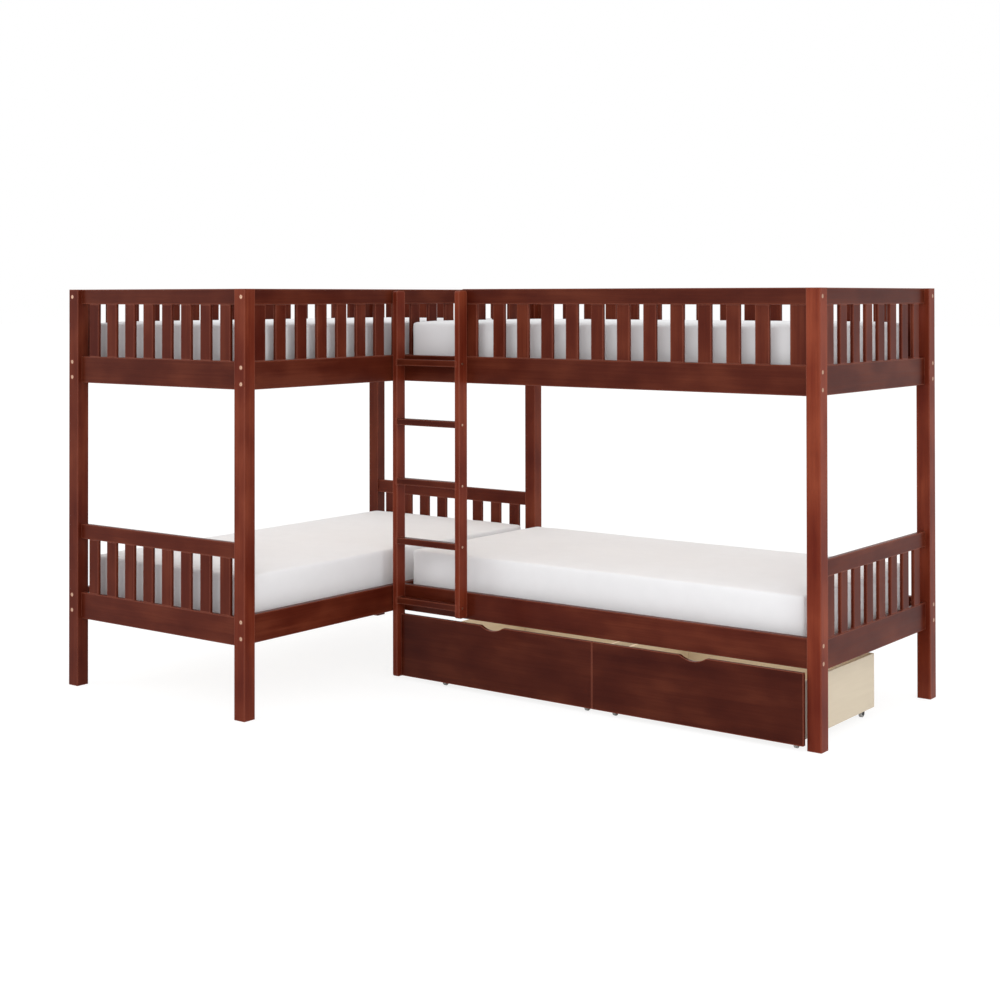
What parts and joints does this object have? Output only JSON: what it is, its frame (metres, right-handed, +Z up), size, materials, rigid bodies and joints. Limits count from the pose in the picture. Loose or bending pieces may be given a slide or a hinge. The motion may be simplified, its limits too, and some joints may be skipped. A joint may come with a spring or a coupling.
{
  "type": "l-shaped twin-over-twin bunk bed set",
  "caption": "L-shaped corner set of twin-over-twin bunk beds in cherry-stained wood, with slatted guards, a fixed ladder and rolling under-bed drawers.",
  "frame": {"origin": "on the floor, below the middle of the whole set's bounding box", "axes": "+Z up; +X along the right bunk, away from the left bunk; +Y along the left bunk, towards the back posts"},
  "size_m": [3.114, 2.03, 1.717],
  "materials": {
    "cherry_wood": "glossy cherry stain and lacquer",
    "birch_plywood": "clear-lacquered plywood",
    "pine_wood": "plain sanded",
    "mattress_cloth": "plain off-white cover",
    "zinc_steel": "zinc plated",
    "caster_steel": "black",
    "caster_tyre": "grey plastic"
  },
  "bodies": {
    "bed": {"post_front_left": "cherry_wood", "post_front_inner": "cherry_wood", "post_back_left": "cherry_wood", "post_corner": "cherry_wood", "post_front_right": "cherry_wood", "post_back_right": "cherry_wood", "front_end_upper_rails": "cherry_wood", "front_end_lower_rails": "cherry_wood", "front_end_slats": "cherry_wood", "back_end_upper_rails": "cherry_wood", "back_end_lower_rails": "cherry_wood", "back_end_slats": "cherry_wood", "right_end_upper_rails": "cherry_wood", "right_end_lower_rails": "cherry_wood", "right_end_slats": "cherry_wood", "left_side_rail_lower": "cherry_wood", "left_side_rail_upper": "cherry_wood", "left_guard_top_rail": "cherry_wood", "left_guard_slats": "cherry_wood", "inner_side_rail_lower": "cherry_wood", "inner_side_rail_upper": "cherry_wood", "inner_guard_top_rail": "cherry_wood", "inner_guard_slats": "cherry_wood", "back_side_rail_lower": "cherry_wood", "back_side_rail_upper": "cherry_wood", "back_guard_top_rail": "cherry_wood", "back_guard_slats": "cherry_wood", "front_side_rail_lower": "cherry_wood", "front_side_rail_upper": "cherry_wood", "front_guard_top_rail": "cherry_wood", "front_guard_slats": "cherry_wood", "ladder_long_stile": "cherry_wood", "ladder_short_stile": "cherry_wood", "ladder_rungs": "cherry_wood", "slat_cleats": "pine_wood", "left_bed_slats_lower": "pine_wood", "left_bed_slats_upper": "pine_wood", "right_bed_slats_lower": "pine_wood", "right_bed_slats_upper": "pine_wood", "left_mattress_lower": "mattress_cloth", "left_mattress_upper": "mattress_cloth", "right_mattress_lower": "mattress_cloth", "right_mattress_upper": "mattress_cloth", "rail_bolts": "zinc_steel", "barrel_nuts": "zinc_steel", "wood_screws": "zinc_steel", "ladder_bolts": "zinc_steel", "corner_brackets": "zinc_steel"},
    "drawer_1": {"drawer_1_front": "cherry_wood", "drawer_1_box": "birch_plywood", "drawer_1_bottom": "birch_plywood", "drawer_1_casters": "caster_steel"},
    "drawer_1_front_wheels": {"drawer_1_front_wheels": "caster_tyre"},
    "drawer_1_back_wheels": {"drawer_1_back_wheels": "caster_tyre"},
    "drawer_2": {"drawer_2_front": "cherry_wood", "drawer_2_box": "birch_plywood", "drawer_2_bottom": "birch_plywood", "drawer_2_casters": "caster_steel"},
    "drawer_2_front_wheels": {"drawer_2_front_wheels": "caster_tyre"},
    "drawer_2_back_wheels": {"drawer_2_back_wheels": "caster_tyre"}
  },
  "joints": [
    {"name": "drawer_1_slide", "type": "slide", "parent": "bed", "child": "drawer_1", "axis": [0, -1, 0], "range_m": [0, 0.6]},
    {"name": "drawer_1_front_wheel_roll", "type": "hinge", "parent": "drawer_1", "child": "drawer_1_front_wheels", "pos_m": [0.14, -0.049, 0.015], "axis": [1, 0, 0], "continuous": true},
    {"name": "drawer_1_back_wheel_roll", "type": "hinge", "parent": "drawer_1", "child": "drawer_1_back_wheels", "pos_m": [0.14, 0.517, 0.015], "axis": [1, 0, 0], "continuous": true},
    {"name": "drawer_2_slide", "type": "slide", "parent": "bed", "child": "drawer_2", "axis": [0, -1, 0], "range_m": [0, 0.6]},
    {"name": "drawer_2_front_wheel_roll", "type": "hinge", "parent": "drawer_2", "child": "drawer_2_front_wheels", "pos_m": [1.0465, -0.049, 0.015], "axis": [1, 0, 0], "continuous": true},
    {"name": "drawer_2_back_wheel_roll", "type": "hinge", "parent": "drawer_2", "child": "drawer_2_back_wheels", "pos_m": [1.0465, 0.517, 0.015], "axis": [1, 0, 0], "continuous": true}
  ],
  "couplings": [
    {"joint": "drawer_1_front_wheel_roll", "follows": "drawer_1_slide", "rad_per_m": 66.667},
    {"joint": "drawer_1_back_wheel_roll", "follows": "drawer_1_slide", "rad_per_m": 66.667},
    {"joint": "drawer_2_front_wheel_roll", "follows": "drawer_2_slide", "rad_per_m": 66.667},
    {"joint": "drawer_2_back_wheel_roll", "follows": "drawer_2_slide", "rad_per_m": 66.667}
  ]
}
